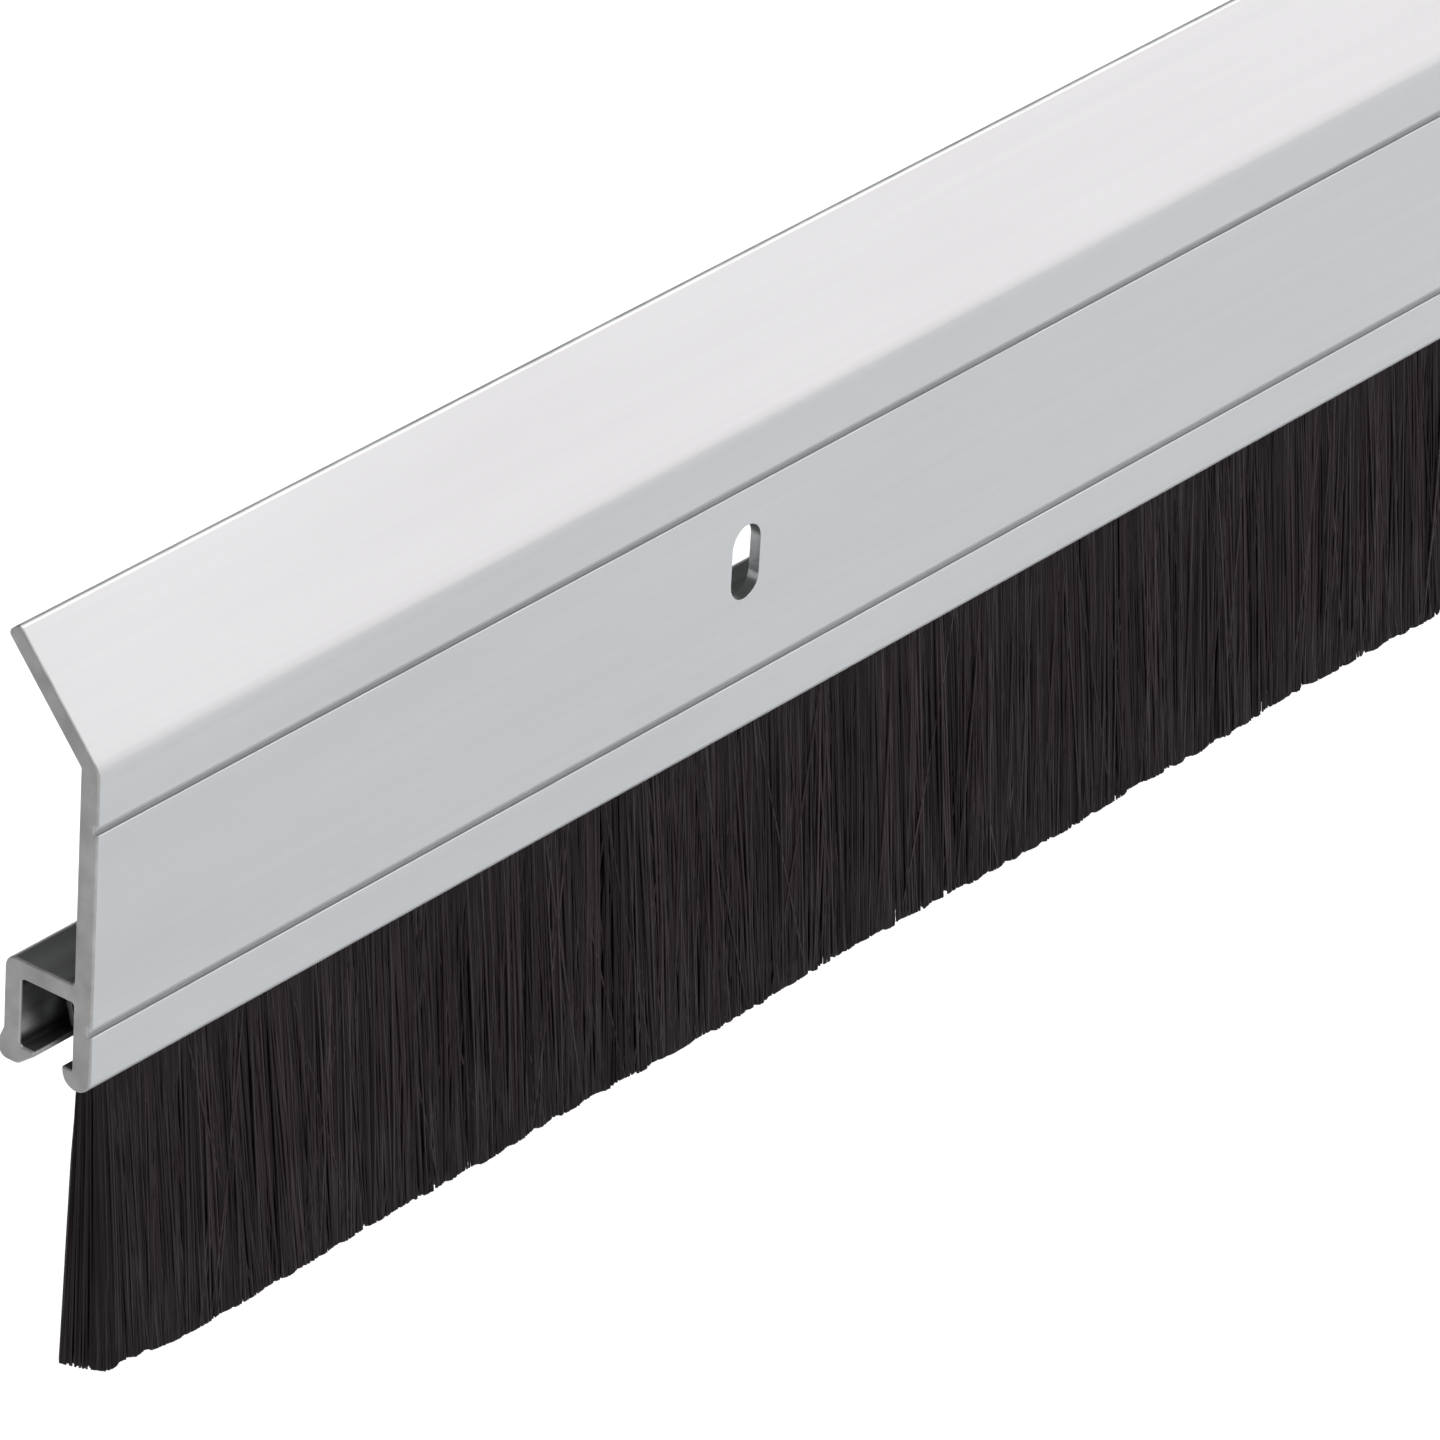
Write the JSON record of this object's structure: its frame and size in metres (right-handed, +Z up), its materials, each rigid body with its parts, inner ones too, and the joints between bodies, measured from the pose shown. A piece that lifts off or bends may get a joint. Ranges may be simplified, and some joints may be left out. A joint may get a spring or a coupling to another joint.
{
  "type": "door sweep",
  "caption": "Aluminium door bottom strip with a back-leaning top flange, upright screw slots and a black brush that slides into a rear channel.",
  "frame": {"origin": "on the plane that touches the door, at mid-length, in the middle of the lower contact pad", "axes": "+X along the length, +Y out of the back towards the door, +Z up"},
  "size_m": [1, 0.012, 0.0872],
  "materials": {
    "anodised_aluminium": "satin silver anodised, with fine lines along the length",
    "galvanised_steel": "dull zinc-coated sheet",
    "steel_wire": "plain drawn wire",
    "black_bristle": "semi-matte polypropylene filament"
  },
  "bodies": {
    "rail": {"profile": "anodised_aluminium"},
    "brush": {"brush_holder": "galvanised_steel", "core_wire": "steel_wire", "bristles": "black_bristle"}
  },
  "joints": [
    {"name": "brush_slide", "type": "slide", "parent": "rail", "child": "brush", "axis": [1, 0, 0], "range_m": [-0.98, 0.98]}
  ]
}
